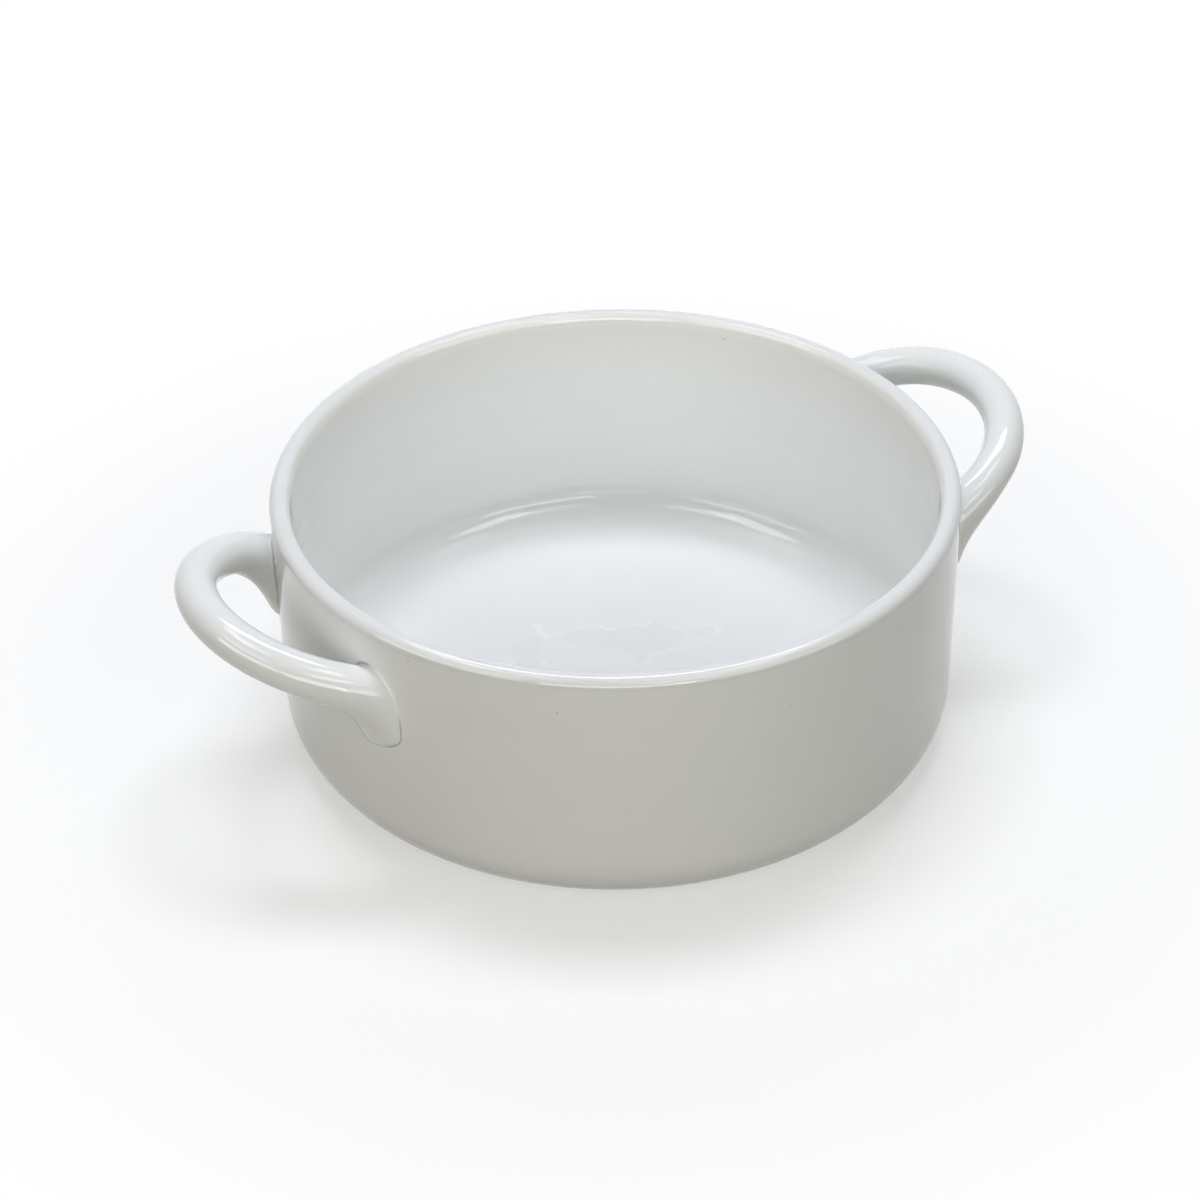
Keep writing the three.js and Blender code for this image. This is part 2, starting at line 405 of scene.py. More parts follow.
def pooled_floor(base, place, height, glaze):
    """Glaze that has run together on the floor, with broken pale outlines."""
    on_floor = height.step(*POOL_LEVEL)
    wobble = (noise(place, *POOL_WOBBLE) - 0.5) * POOL_SWING
    broken = noise(place, *OUTLINE_BREAKS).step(*OUTLINE_RANGE)
    for across, along, half_long, half_wide, turn in POOLS:
        half = (half_long, half_wide, POOL_HALF_HEIGHT)
        edge = blob(place, (across, along, 0.0), turn, half) + wobble
        pooled = (1 - edge.step(*POOL_RANGE)) * on_floor
        outline = edge.step(1.0, 1.0 + POOL_EDGE) * (1 - edge.step(1.0 + POOL_EDGE, 1.0 + 3 * POOL_EDGE))
        base = (pooled * POOL_SHARE).blend(base, paint(glaze.pool))
        base = (outline * broken * on_floor * OUTLINE_SHARE).blend(base, paint(glaze.pool_edge))
    return base


def glazed_lip(base, place, height, inner, glaze, bowl):
    """Darker glaze over the lip, partly thin glaze and partly painted shade, and a paler cream inner edge,
    partly thin glaze and partly a painted highlight.
    """
    crest = near_rim(height, bowl, CREST_FALL)
    crest = crest.most((1 - inner) * near_rim(height, bowl, OUTER_CREST_FALL))
    # Painted shade, with thin glaze: the lip's top and outer rounding are darker
    base = (crest * CREST_SHARE).blend(base, paint(glaze.lip))

    patches = noise(place, *LIP_PATCHES).step(*LIP_PATCH_RANGE)
    lip_low = bowl.height - bowl.lip_fall
    upper = height.step(lip_low + LIP_EDGE_RANGE[0], lip_low + LIP_EDGE_RANGE[1])
    edge = inner * axis(place, "Y").step(*LIP_REAR_RANGE) * upper
    inside = bowl.wall_radius - bowl.wall
    spot = (inside * math.cos(RUN_ANGLE), inside * math.sin(RUN_ANGLE), bowl.height - RUN_DEPTH)
    run = blob(place, spot, RUN_ANGLE, RUN_HALF) + (patches - 0.5) * RUN_SWING
    run = (1 - run.step(*RUN_RANGE)) * inner
    # Painted highlight, with thin glaze: the lip's inner edge behind the front is paler
    thin = (edge * (patches * LIP_PATCH_SHARE + LIP_EDGE_SHARE)).most(run * RUN_SHARE)
    return thin.blend(base, paint(glaze.thin))


def pinholes(base, place, glaze, bowl):
    """Pinholes in the glaze of the wall."""
    for on_inside, angle, up, size in PINHOLES:
        reach = bowl.wall_radius - bowl.wall if on_inside else bowl.wall_radius
        spot = (reach * math.cos(angle), reach * math.sin(angle), up)
        settings = {"operation": "DISTANCE"}
        gap = place.node("ShaderNodeVectorMath", settings, {0: place, 1: spot}, output="Value")
        clean = gap.step(PINHOLE_RANGE[0] * size, PINHOLE_RANGE[1] * size)
        base = (1 - clean).blend(base, paint(glaze.pit))
    return base


def bare_foot(place, height, radius, bowl):
    """1 on the foot ring, where the clay is bare between ragged edges of glaze."""
    outer = bowl.wall_radius - bowl.base_corner
    inner = outer - bowl.foot_width
    ragged = radius + noise(place, *FOOT_NOISE) * FOOT_RAGGED
    bare = 1 - height.step(*FOOT_LEVEL)
    bare = bare * ragged.step(inner + FOOT_INNER_RANGE[0], inner + FOOT_INNER_RANGE[1])
    return bare * (1 - ragged.step(outer + FOOT_OUTER_RANGE[0], outer + FOOT_OUTER_RANGE[1]))


def bowl_marks(base, place, glaze, bowl):
    """What making and the kiln left on the bowl, with painted shade and a painted highlight on its lip: its
    colour with them, and where the clay is bare.
    """
    height = axis(place, "Z")
    radius = from_axis(place)
    inside = bowl.wall_radius - bowl.wall
    inner = 1 - radius.step(inside + INNER_RANGE[0], inside + INNER_RANGE[1])
    warm = inner * near_rim(height, bowl, WARM_FALL)
    base = (warm * WARM_SHARE).blend(base, paint(glaze.warm))
    base = pooled_floor(base, place, height, glaze)
    base = glazed_lip(base, place, height, inner, glaze, bowl)
    base = pinholes(base, place, glaze, bowl)
    bare = bare_foot(place, height, radius, bowl)
    return bare.blend(base, paint(glaze.bare)), bare


def creases(base, place, glaze, crease_shade):
    """Painted shade: the slip darker along the wall inside a handle's loop, and round the foot of its tail.
    """
    aside, low, wall = crease_shade
    in_loop = 1 - abs(axis(place, "Y")).step(aside - CREASE_FADE, aside + CREASE_FADE)
    by_wall = 1 - from_axis(place).step(wall, wall + CREASE_WIDTH)
    foot = 1 - axis(place, "Z").step(low - CREASE_FADE, low + CREASE_FADE)
    dark = (in_loop * by_wall * CREASE_LOOP_SHARE).most(foot * CREASE_FOOT_SHARE)
    return dark.blend(base, paint(glaze.crease_shade))


def glaze_material(name, glaze, bowl=None, crease_shade=None):
    """Glossy white glaze, with the bowl's own marks and the painted shade and highlight on its lip, or with
    painted shade in the creases of the handles' roots.
    """
    material, tree = new_tree(name)
    place = tree.node("ShaderNodeTexCoord", {}, {}, output="Object")
    cloud = noise(place, *CLOUDS)
    band = noise(scaled(place, BAND_SCALE), *BANDS)
    speck = noise(place, *SPECKS).step(*SPECK_RANGE)
    thick = cloud.step(*THICK_RANGE) * CLOUD_SHARE + band.step(*THICK_RANGE) * BAND_SHARE
    base = (thick + speck * SPECK_SHARE).blend(paint(glaze.white), paint(glaze.cloudy))
    rough = glaze.gloss + (cloud - 0.5) * GLOSS_SWING
    if bowl:
        base, bare = bowl_marks(base, place, glaze, bowl)
        rough = rough + bare * (glaze.matt - glaze.gloss)
    if crease_shade:
        base = creases(base, place, glaze, crease_shade)
    bump = tree.node("ShaderNodeBump", {}, {
        "Strength": PEEL_STRENGTH, "Distance": PEEL_DEPTH, "Height": noise(place, *PEEL)})
    shader = tree.node("ShaderNodeBsdfPrincipled", {}, {
        "Base Color": base, "Roughness": rough, "IOR": GLAZE_IOR, "Normal": bump})
    close_tree(tree, shader)
    return material


def new_piece(name, vertices, faces, normals, material, node):
    """One closed mesh of the dish, smooth by the given normals, in the place of a solid."""
    mesh = bpy.data.meshes.new(name)
    mesh.from_pydata([tuple(v) for v in vertices], [], faces)
    mesh.validate()
    mesh.shade_smooth()
    mesh.normals_split_custom_set_from_vertices([tuple(n) for n in normals])
    mesh.materials.append(material)
    piece = bpy.data.objects.new(name, mesh)
    bpy.context.scene.collection.objects.link(piece)
    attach(piece, BODY)
    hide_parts(node)
    return piece


def grid_faces(rows, columns, first=0):
    """Quads of a grid of rows, whose columns close on themselves."""
    faces = []
    for row in range(rows - 1):
        for column in range(columns):
            following = (column + 1) % columns
            low = first + row * columns
            high = low + columns
            faces.append((low + column, low + following, high + following, high + column))
    return faces


def rounded_outline(corners):
    """Points of a line through corners (radius, height, rounding, stretch), with arcs at the corners.

    The stretch is the rounding's height over its width, so the arcs are parts of ellipses.
    """
    points = [np.array(corners[0][:2])]
    for before, corner, after in zip(corners, corners[1:], corners[2:]):
        here = np.array(corner[:2])
        stretch = np.array([1.0, corner[3]])
        back = np.array(before[:2]) - here
        ahead = np.array(after[:2]) - here
        back /= np.linalg.norm(back)
        ahead /= np.linalg.norm(ahead)
        opening = math.acos(np.clip(back @ ahead, -1.0, 1.0))
        middle = (back + ahead) / np.linalg.norm(back + ahead)
        centre = here + middle * corner[2] / math.sin(opening / 2)
        start = here + back * corner[2] / math.tan(opening / 2) - centre
        turn = math.pi - opening
        side = math.copysign(1.0, ahead[0] * back[1] - ahead[1] * back[0])
        steps = max(2, math.ceil(turn / ARC_STEP))
        for angle in np.linspace(0.0, side * turn, steps + 1):
            cosine, sine = math.cos(angle), math.sin(angle)
            on_arc = centre + np.array([cosine * start[0] - sine * start[1],
                                        sine * start[0] + cosine * start[1]])
            points.append(here + (on_arc - here) * stretch)
    points.append(np.array(corners[-1][:2]))
    filled = [points[0]]
    for start, end in zip(points, points[1:]):
        parts = max(1, math.ceil(np.linalg.norm(end - start) / OUTLINE_STEP))
        filled.extend(start + (end - start) * part / parts for part in range(1, parts + 1))
    return np.array(filled)


def bowl_outline(bowl):
    """Half the bowl's section, from the middle of the underside round to the middle of the floor."""
    inside = bowl.wall_radius - bowl.wall
    foot_inner = bowl.wall_radius - bowl.base_corner - bowl.foot_width
    floor_top = bowl.foot_recess + bowl.floor
    corners = [
        (0.0, bowl.foot_recess, 0.0, 1.0),
        (foot_inner - bowl.foot_recess, bowl.foot_recess, bowl.foot_round, 1.0),
        (foot_inner, 0.0, bowl.foot_round, 1.0),
        (bowl.wall_radius, 0.0, bowl.base_corner, 1.0),
        (bowl.wall_radius, bowl.height, bowl.lip_outer, 1.0),
        (inside, bowl.height, bowl.lip_inner, bowl.lip_fall / bowl.lip_inner),
        (inside, floor_top, bowl.inner_corner, bowl.corner_rise / bowl.inner_corner),
        (0.0, floor_top, 0.0, 1.0),
    ]
    points = rounded_outline(corners)
    low = floor_top + bowl.corner_rise
    high = bowl.height - bowl.lip_fall
    on_inside = np.abs(points[:, 0] - inside) < SAME_RADIUS
    share = np.clip((points[:, 1] - low) / (high - low), 0.0, 1.0)
    fade = np.sin(math.pi * share)
    wave = np.sin(2 * math.pi * points[:, 1] / bowl.ripple_pitch)
    points[:, 0] += on_inside * bowl.ripple * fade * wave
    return points


def turned(points):
    """Vertices, faces and normals of an outline turned about the upright axis."""
    slope = np.gradient(points, axis=0)
    slope /= np.linalg.norm(slope, axis=1)[:, None]
    slope[0] = (1.0, 0.0)
    slope[-1] = (-1.0, 0.0)
    angle = np.arange(BOWL_SEGMENTS) * 2 * math.pi / BOWL_SEGMENTS
    around = np.stack([np.cos(angle), np.sin(angle)], axis=1)
    rings = points[1:-1]
    vertices = [(0.0, 0.0, points[0, 1])]
    normals = [(0.0, 0.0, -1.0)]
    for (radius, height), (out, up) in zip(rings, slope[1:-1]):
        vertices.extend((radius * c, radius * s, height) for c, s in around)
        normals.extend((up * c, up * s, -out) for c, s in around)
    vertices.append((0.0, 0.0, points[-1, 1]))
    normals.append((0.0, 0.0, 1.0))
    faces = grid_faces(len(rings), BOWL_SEGMENTS, first=1)
    top = len(vertices) - 1
    last_ring = top - BOWL_SEGMENTS
    for segment in range(BOWL_SEGMENTS):
        following = (segment + 1) % BOWL_SEGMENTS
        faces.append((0, 1 + following, 1 + segment))
        faces.append((top, last_ring + segment, last_ring + following))
    return vertices, faces, normals


def eased(share):
    """A share from 0 to 1 that starts and ends slowly."""
    return share**2 * (3 - 2 * share)


def rod_line(bowl, handle):
    """Points along the middle of the right handle's rod, evenly spaced, from front to back."""
    tip_height = bowl.height - handle.rod_radius
    depth = handle.reach + handle.setback
    slope = math.tan(handle.tilt)
    angle = np.linspace(-handle.bend_angle, handle.bend_angle, ROD_ROWS)
    inward = depth * (1 - np.cos(angle))
    loop = np.stack([bowl.wall_radius - handle.setback + depth - inward,
                     handle.half_span * np.sin(angle),
                     tip_height - slope * inward], axis=1)

    bend = loop[-1]
    heading = loop[-1] - loop[-2]
    heading /= np.linalg.norm(heading)
    aside = handle.half_span - handle.tail_draw
    end_radius = bowl.wall_radius - handle.tail_sink
    out = math.sqrt(end_radius**2 - aside**2)
    end = np.array([out, aside, bowl.height - handle.tail_drop])
    inward = np.array([-out, -aside, 0.0]) / end_radius
    sideways = np.array([-aside, out, 0.0]) / end_radius
    down = np.array([0.0, 0.0, -1.0])
    along_wall = math.sin(handle.tail_splay) * sideways + math.cos(handle.tail_splay) * down
    leaving = math.sin(handle.tail_lean) * inward + math.cos(handle.tail_lean) * along_wall
    lead_in = bend + heading * handle.bend_lead
    lead_out = end - leaving * handle.tail_lead
    t = np.linspace(0.0, 1.0, TAIL_ROWS)[1:, None]
    tail = (1 - t)**3 * bend + 3 * (1 - t)**2 * t * lead_in + 3 * (1 - t) * t**2 * lead_out + t**3 * end

    mirrored = tail[::-1] * (1, -1, 1)
    line = np.concatenate([mirrored, loop, tail])
    travel = np.concatenate([[0.0], np.cumsum(np.linalg.norm(np.diff(line, axis=0), axis=1))])
    even = np.linspace(0.0, travel[-1], ROD_ROWS)
    return np.stack([np.interp(even, travel, line[:, k]) for k in range(3)], axis=1)


def rod_skin(bowl, handle):
    """Untrimmed surface of the right handle's rod with its round ends: points and normals."""
    middle = rod_line(bowl, handle)
    tangent = np.gradient(middle, axis=0)
    tangent /= np.linalg.norm(tangent, axis=1)[:, None]
    outward = middle * (1, 1, 0)
    across = np.cross(tangent, outward)
    across /= np.linalg.norm(across, axis=1)[:, None]
    up = np.cross(tangent, across)
    travel = np.linspace(0.0, 1.0, ROD_ROWS) * np.linalg.norm(np.diff(middle, axis=0), axis=1).sum()
    from_end = np.clip(np.minimum(travel, travel[-1] - travel) / handle.tail_length, 0.0, 1.0)
    tail = 1 - eased(from_end)
    width = handle.rod_radius + handle.tail_spread * tail
    depth = handle.rod_radius + handle.tail_deepen * tail

    bulge = np.linspace(0.0, math.pi / 2, END_ROWS + 1)[1:-1]
    row = np.concatenate([np.zeros(len(bulge), int), np.arange(ROD_ROWS), np.full(len(bulge), ROD_ROWS - 1)])
    angle = np.concatenate([-bulge[::-1], np.zeros(ROD_ROWS), bulge])[:, None]
    middle = middle[row] + tangent[row] * handle.rod_radius * np.sin(angle)
    across = across[row] * width[row, None] * np.cos(angle)**END_POINT
    up = up[row] * depth[row, None] * np.cos(angle)

    side = np.arange(ROD_SIDES) * 2 * math.pi / ROD_SIDES
    ring = np.cos(side)[None, :, None] * across[:, None] + np.sin(side)[None, :, None] * up[:, None]
    points = middle[:, None] + ring
    along = np.gradient(points, axis=0)
    around = np.roll(points, -1, axis=1) - np.roll(points, 1, axis=1)
    normals = np.cross(around, along)
    normals /= np.linalg.norm(normals, axis=2)[:, :, None]
    facing = np.sign(np.sum(normals * ring, axis=2))
    return points, normals * facing[:, :, None]


def at_row(grid, row):
    """Values of a grid at a fractional row for each of its columns."""
    low = np.clip(np.floor(row).astype(int), 0, len(grid) - 2)
    part = (row - low)[:, None]
    column = np.arange(grid.shape[1])
    return grid[low, column] * (1 - part) + grid[low + 1, column] * part


def seat_row(points, normals, radius, ball, towards_start):
    """Row at which a ball that rolls round the rod also touches the wall, for each column."""
    centre = points + normals * ball[None, :, None]
    clear = np.hypot(centre[:, :, 0], centre[:, :, 1]) - (radius + ball)
    half = len(points) // 2
    rows = np.arange(half, -1, -1) if towards_start else np.arange(half, len(points))
    found = np.zeros(points.shape[1])
    for column in range(points.shape[1]):
        walk = clear[rows, column]
        hit = int(np.argmax(walk < 0))
        if walk[hit] >= 0:
            raise RuntimeError("a side of the handle's rod never reaches the wall")
        part = walk[hit - 1] / (walk[hit - 1] - walk[hit])
        found[column] = rows[hit - 1] + part * (rows[hit] - rows[hit - 1])
    return found


def seats(bowl, handle):
    """For the front and back root: the rod's rows, the ball's radii, and the skin they lie on."""
    points, normals = rod_skin(bowl, handle)
    lowest = bowl.height - handle.tail_drop - handle.rod_radius
    highest = lowest + handle.tail_drop * FILLET_GROWTH
    found = {}
    for root, towards_start in (("front", True), ("back", False)):
        ball = np.full(ROD_SIDES, handle.fillet_foot)
        for _ in range(FILLET_ROUNDS):
            row = seat_row(points, normals, bowl.wall_radius, ball, towards_start)
            share = np.clip((at_row(points, row)[:, 2] - lowest) / (highest - lowest), 0.0, 1.0)
            ball = handle.fillet_foot + (handle.fillet_top - handle.fillet_foot) * eased(share)
        row = seat_row(points, normals, bowl.wall_radius, ball, towards_start)
        found[root] = (row, ball)
    return points, normals, found


def half_turned(vectors):
    """Vectors of the right handle turned half round, for the left one."""
    return np.asarray(vectors) * (-1, -1, 1)


def outside_out(vertices, faces):
    """The faces of a closed mesh, turned over if they point inwards."""
    volume = 0.0
    for face in faces:
        for second, third in zip(face[1:], face[2:]):
            volume += np.dot(vertices[face[0]], np.cross(vertices[second], vertices[third]))
    return faces if volume > 0 else [face[::-1] for face in faces]


def handle_mesh(points, normals, found):
    """The rod between its two seats, closed by a face inside each of its roots."""
    first, last = found["front"][0], found["back"][0]
    vertex_rows = []
    normal_rows = []
    for share in np.linspace(0.0, 1.0, ROD_STEPS + 1):
        row = first + (last - first) * share
        vertex_rows.append(at_row(points, row))
        normal_rows.append(at_row(normals, row))
    front_hidden = vertex_rows[0] - normal_rows[0] * HIDDEN_DEPTH
    back_hidden = vertex_rows[-1] - normal_rows[-1] * HIDDEN_DEPTH
    vertex_rows = [front_hidden, *vertex_rows, back_hidden]
    normal_rows = [normal_rows[0], *normal_rows, normal_rows[-1]]
    faces = grid_faces(len(vertex_rows), ROD_SIDES)
    last_row = (len(vertex_rows) - 1) * ROD_SIDES
    front_middle = len(vertex_rows) * ROD_SIDES
    back_middle = front_middle + 1
    for column in range(ROD_SIDES):
        following = (column + 1) % ROD_SIDES
        faces.append((front_middle, following, column))
        faces.append((back_middle, last_row + column, last_row + following))
    vertex_rows += [front_hidden.mean(axis=0)[None], back_hidden.mean(axis=0)[None]]
    normal_rows += [normal_rows[0][:1], normal_rows[-1][:1]]
    vertices = np.concatenate(vertex_rows)
    return vertices, outside_out(vertices, faces), np.concatenate(normal_rows)


def fillet_mesh(points, normals, row, ball):
    """The fillet that a rolling ball leaves between the rod and the wall, as a thin closed ring."""
    on_rod = at_row(points, row)
    rod_normal = at_row(normals, row)
    rod_normal /= np.linalg.norm(rod_normal, axis=1)[:, None]
    centre = on_rod + rod_normal * ball[:, None]
    out = centre * (1, 1, 0)
    out /= np.linalg.norm(out, axis=1)[:, None]
    turn = np.arccos(np.clip(np.sum(rod_normal * out, axis=1), -1.0, 1.0))[:, None]
    shares = np.linspace(0.0, 1.0, FILLET_STEPS + 1)
    facing = [(np.sin((1 - share) * turn) * rod_normal + np.sin(share * turn) * out) / np.sin(turn)
              for share in shares]
    shown = [centre - normal * ball[:, None] for normal in facing]
    hidden = [centre - normal * (ball[:, None] + HIDDEN_DEPTH) for normal in facing]
    vertices = np.concatenate(shown + hidden[::-1])
    fillet_normals = np.concatenate(facing + facing[::-1])
    rows = len(shown) + len(hidden)
    faces = grid_faces(rows, ROD_SIDES)
    bottom = (rows - 1) * ROD_SIDES
    for column in range(ROD_SIDES):
        following = (column + 1) % ROD_SIDES
        faces.append((bottom + column, bottom + following, following, column))
    return vertices, outside_out(vertices, faces), fillet_normals


class CASSEROLE_OT_bowl(bpy.types.Operator):
    """Turn the bowl from its outline"""

    bl_idname = "casserole.bowl"
    bl_label = "Bowl"

    def execute(self, context):
        scene = context.scene
        material = glaze_material("bowl_glaze", scene.casserole_glaze, scene.casserole_bowl)
        vertices, faces, normals = turned(bowl_outline(scene.casserole_bowl))
        new_piece("turned_bowl", vertices, faces, normals, material, "bowl")
        return {"FINISHED"}


class CASSEROLE_OT_handles(bpy.types.Operator):
    """Pull the two loop handles along their line"""

    bl_idname = "casserole.handles"
    bl_label = "Handles"

    def execute(self, context):
        scene = context.scene
        material = glaze_material("handle_glaze", scene.casserole_glaze)
        skin = seats(scene.casserole_bowl, scene.casserole_handle)
        vertices, faces, normals = handle_mesh(*skin)
        new_piece("right_loop_rod", vertices, faces, normals, material, "right_handle")
        new_piece("left_loop_rod", half_turned(vertices), faces, half_turned(normals), material,
                  "left_handle")
        return {"FINISHED"}


class CASSEROLE_OT_slip_joints(bpy.types.Operator):
    """Run a fillet of slip round the foot of each tail"""

    bl_idname = "casserole.slip_joints"
    bl_label = "Slip joints"

    def execute(self, context):
        scene = context.scene
        bowl, handle = scene.casserole_bowl, scene.casserole_handle
        # Where the painted shade goes: inside the loop by the wall, and round the foot of the tail
        crease_shade = (handle.half_span - handle.tail_draw,
                  bowl.height - handle.tail_drop + handle.rod_radius, bowl.wall_radius)
        material = glaze_material("slip_glaze", scene.casserole_glaze, crease_shade=crease_shade)
        points, normals, found = seats(bowl, handle)
        for root, opposite in (("front", "back"), ("back", "front")):
            vertices, faces, fillet_normals = fillet_mesh(points, normals, *found[root])
            new_piece(f"right_{root}_slip_fillet", vertices, faces, fillet_normals, material,
                      f"right_{root}_slip_joint")
            new_piece(f"left_{opposite}_slip_fillet", half_turned(vertices), faces,
                      half_turned(fillet_normals), material, f"left_{opposite}_slip_joint")
        return {"FINISHED"}


# The studio
WHITE = (1.0, 1.0, 1.0)
BLACK = (0.0, 0.0, 0.0)
WARM_WHITE = (1.0, 1.0, 0.97)
PAPER_ROUGHNESS = 0.9
FLOOR_GAP = 0.05 * MM           # keeps the floor clear of the foot ring


def seen_directly(tree):
    """1 for what the camera sees, by itself or through a reflection, and 0 for soft light."""
    camera = tree.node("ShaderNodeLightPath", {}, {}, output="Is Camera Ray")
    glossy = tree.node("ShaderNodeLightPath", {}, {}, output="Is Glossy Ray")
    through = tree.node("ShaderNodeLightPath", {}, {}, output="Is Transmission Ray")
    return camera.most(glossy).most(through)


def floor_material(stage):
    """White paper to the camera and in gloss, with the dish's shadow, and greyer as it lights the dish."""
    material, tree = new_tree("floor_paper")
    seen = seen_directly(tree)
    base = seen.blend(paint(stage.floor_bounce), paint(stage.floor_white))
    glow = seen.blend(paint(BLACK), paint([stage.floor_glow] * 3))
    near = tree.node("ShaderNodeBsdfPrincipled", {}, {
        "Base Color": base, "Roughness": PAPER_ROUGHNESS, "Specular IOR Level": 0.0,
        "Emission Color": glow, "Emission Strength": 1.0})
    far = tree.node("ShaderNodeEmission", {}, {"Color": paint(WHITE), "Strength": 1.0})
    place = tree.node("ShaderNodeTexCoord", {}, {}, output="Object")
    away = from_origin(place).step(stage.shadow_near, stage.shadow_far) * seen
    close_tree(tree, tree.node("ShaderNodeMixShader", {}, {0: away, 1: near, 2: far}))
    return material


def add_floor(stage):
    """A round of paper under the dish."""
    angles = np.arange(FLOOR_SEGMENTS) * 2 * math.pi / FLOOR_SEGMENTS
    rim = [(stage.floor_radius * math.cos(angle), stage.floor_radius * math.sin(angle), -FLOOR_GAP)
           for angle in angles]
    mesh = bpy.data.meshes.new("studio_floor")
    mesh.from_pydata(rim, [], [tuple(range(len(rim)))])
    mesh.materials.append(floor_material(stage))
    floor = bpy.data.objects.new("studio_floor", mesh)
    bpy.context.scene.collection.objects.link(floor)


def add_world(stage):
    """White to the camera and in gloss, and a dim sky as it lights the dish."""
    world = bpy.data.worlds.new("studio")
    bpy.context.scene.world = world
    world.use_nodes = True
    world.node_tree.nodes.clear()
    tree = Wire(world.node_tree)
    seen = seen_directly(tree)
    soft = [stage.sky * part for part in stage.sky_tint]
    sky = seen.blend(paint(soft), paint(WHITE))
    light = tree.node("ShaderNodeBackground", {}, {"Color": sky, "Strength": 1.0})
    tree.node("ShaderNodeOutputWorld", {}, {"Surface": light})


# Lamps: name, azimuth from the camera to the right, elevation, spread across and spread up in
# degrees as seen from the dish, brightness where 1 is white, and tint. The soft boxes light the
# dish, and the strips only show as streaks in its gloss.
SOFT_BOXES = (
    ("key_box", 180.0, 77.0, 34.0, 16.0, 12.2, (0.90, 0.92, 1.0)),
    ("front_panel", 0.0, 26.0, 42.0, 32.0, 0.66, (0.83, 0.85, 1.0)),
    ("front_left_panel", -38.0, 26.0, 42.0, 32.0, 2.05, (1.0, 0.945, 0.82)),
    ("front_right_panel", 38.0, 26.0, 42.0, 32.0, 1.8, (1.0, 1.0, 0.88)),
    ("back_left_panel", -158.0, 26.0, 45.0, 16.0, 2.0, (0.81, 0.93, 1.0)),
    ("back_right_panel", 158.0, 26.0, 45.0, 16.0, 1.6, (0.86, 0.99, 1.0)),
)
STRIPS = (
    ("back_strip", 180.0, 66.0, 40.0, 12.0, 10.0, (0.97, 0.98, 1.0)),
    ("front_low_strip", 0.0, 14.0, 44.0, 16.0, 6.2, WARM_WHITE),
    ("left_low_strip", -55.0, 38.0, 40.0, 9.0, 3.4, WARM_WHITE),
    ("left_high_strip", -88.0, 64.0, 27.0, 11.0, 4.6, WARM_WHITE),
    ("left_high_end", -62.0, 71.0, 18.0, 9.0, 3.0, WARM_WHITE),
    ("right_low_strip", 33.0, 44.0, 36.0, 11.0, 4.2, WARM_WHITE),
    ("right_high_strip", 78.0, 65.0, 22.0, 11.0, 4.4, WARM_WHITE),
    ("right_high_end", 48.0, 71.0, 18.0, 9.0, 2.4, WARM_WHITE),
    ("left_rod_strip", -52.0, 17.0, 46.0, 12.0, 6.0, WARM_WHITE),
    ("right_rod_strip", 45.0, 13.0, 55.0, 14.0, 4.0, WARM_WHITE),
)


def from_camera(stage, azimuth, elevation, distance, target):
    """A point round the target, at an azimuth from the camera to the right."""
    angle = azimuth - stage.azimuth
    return target + distance * Vector((math.sin(angle) * math.cos(elevation),
                                       -math.cos(angle) * math.cos(elevation),
                                       math.sin(elevation)))


def add_lamps(stage, target, lamps, lights_surfaces):
    """Area lamps round the target, which light its surfaces or else only show in their gloss."""
    for name, azimuth, elevation, across, up, brightness, tint in lamps:
        lamp = bpy.data.lights.new(name, "AREA")
        lamp.shape = "RECTANGLE"
        lamp.size = 2 * stage.lamp_distance * math.tan(math.radians(across) / 2)
        lamp.size_y = 2 * stage.lamp_distance * math.tan(math.radians(up) / 2)
        lamp.energy = brightness * math.pi * lamp.size * lamp.size_y
        lamp.color = tint
        holder = bpy.data.objects.new(name, lamp)
        bpy.context.scene.collection.objects.link(holder)
        holder.visible_camera = False
        holder.visible_diffuse = lights_surfaces
        holder.visible_glossy = not lights_surfaces
        holder.location = from_camera(stage, math.radians(azimuth), math.radians(elevation),
                                      stage.lamp_distance, target)
        holder.rotation_euler = (target - holder.location).to_track_quat("-Z", "Y").to_euler()


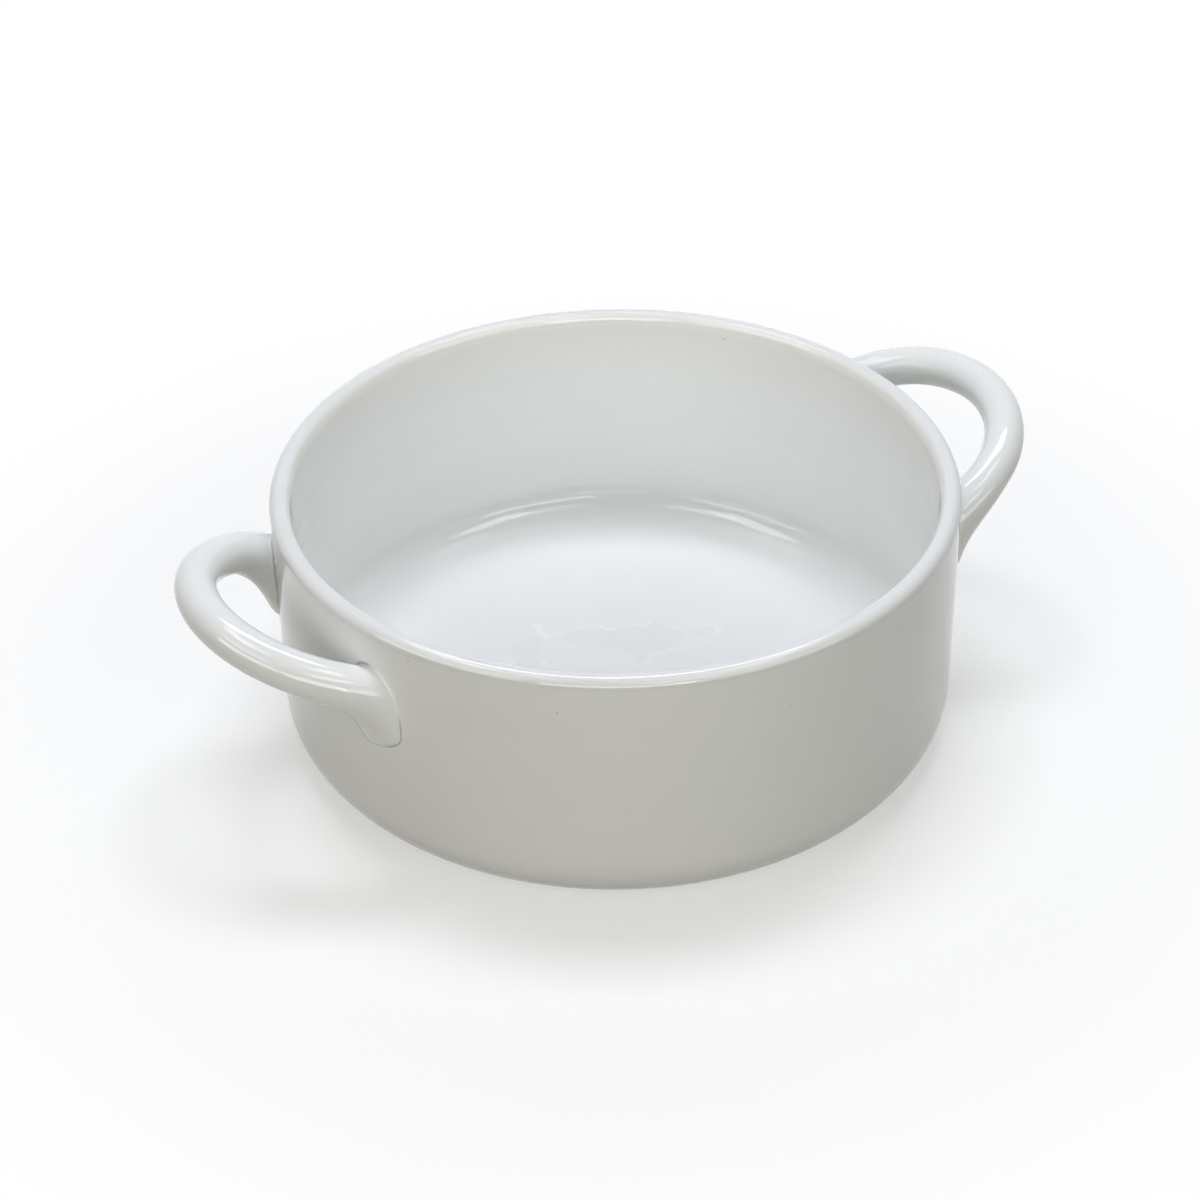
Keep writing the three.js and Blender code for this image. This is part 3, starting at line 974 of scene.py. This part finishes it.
def add_camera(stage, target):
    """The photograph's camera: same direction, distance, roll and framing."""
    ahead = -from_camera(stage, 0.0, stage.elevation, 1.0, Vector())
    level = ahead.cross(Vector((0.0, 0.0, 1.0))).normalized()
    upright = level.cross(ahead)
    cosine, sine = math.cos(stage.roll), math.sin(stage.roll)
    right = level * cosine - upright * sine
    up = level * sine + upright * cosine
    lens = bpy.data.cameras.new("photo_camera")
    lens.sensor_width = SENSOR
    lens.lens = FOCAL_PIXELS / PHOTO_WIDTH * SENSOR
    lens.shift_x = (PHOTO_WIDTH / 2 - TARGET_PIXEL[0]) / PHOTO_WIDTH
    lens.shift_y = (TARGET_PIXEL[1] - PHOTO_WIDTH / 2) / PHOTO_WIDTH
    camera = bpy.data.objects.new("photo_camera", lens)
    bpy.context.scene.collection.objects.link(camera)
    turn = Matrix((right, up, -ahead)).transposed().to_4x4()
    camera.matrix_world = Matrix.Translation(target - ahead * stage.distance) @ turn
    bpy.context.scene.camera = camera


class CASSEROLE_OT_stage(bpy.types.Operator):
    """Lay the floor, hang the lamps and place the camera"""

    bl_idname = "casserole.stage"
    bl_label = "Stage"

    def execute(self, context):
        stage = context.scene.casserole_stage
        target = Vector((0.0, 0.0, context.scene.casserole_bowl.height / 2))
        add_floor(stage)
        add_world(stage)
        add_lamps(stage, target, SOFT_BOXES, True)
        add_lamps(stage, target, STRIPS, False)
        add_camera(stage, target)
        context.scene.view_settings.view_transform = "Standard"
        return {"FINISHED"}


class CASSEROLE_PT_panel(bpy.types.Panel):
    """Lists the steps that build the dish"""

    bl_idname = "CASSEROLE_PT_panel"
    bl_label = "Casserole dish"
    bl_space_type = "VIEW_3D"
    bl_region_type = "UI"
    bl_category = "Casserole"

    def draw(self, context):
        for operator in OPERATORS:
            self.layout.operator(operator.bl_idname)
        for group in SETTINGS:
            box = self.layout.box()
            settings = getattr(context.scene, group)
            for name in settings.__annotations__:
                box.prop(settings, name)


SETTINGS = {
    "casserole_bowl": CasseroleBowl,
    "casserole_handle": CasseroleHandle,
    "casserole_glaze": CasseroleGlaze,
    "casserole_stage": CasseroleStage,
}
OPERATORS = (CASSEROLE_OT_bowl, CASSEROLE_OT_handles, CASSEROLE_OT_slip_joints, CASSEROLE_OT_stage)


def register():
    for kind in (*SETTINGS.values(), *OPERATORS, CASSEROLE_PT_panel):
        bpy.utils.register_class(kind)
    for name, kind in SETTINGS.items():
        setattr(bpy.types.Scene, name, PointerProperty(type=kind))


def unregister():
    for name in SETTINGS:
        delattr(bpy.types.Scene, name)
    for kind in (CASSEROLE_PT_panel, *reversed(OPERATORS), *reversed(SETTINGS.values())):
        bpy.utils.unregister_class(kind)


def main():
    register()
    bpy.ops.casserole.bowl()
    bpy.ops.casserole.handles()
    bpy.ops.casserole.slip_joints()
    bpy.ops.casserole.stage()


if __name__ == "__main__":
    main()
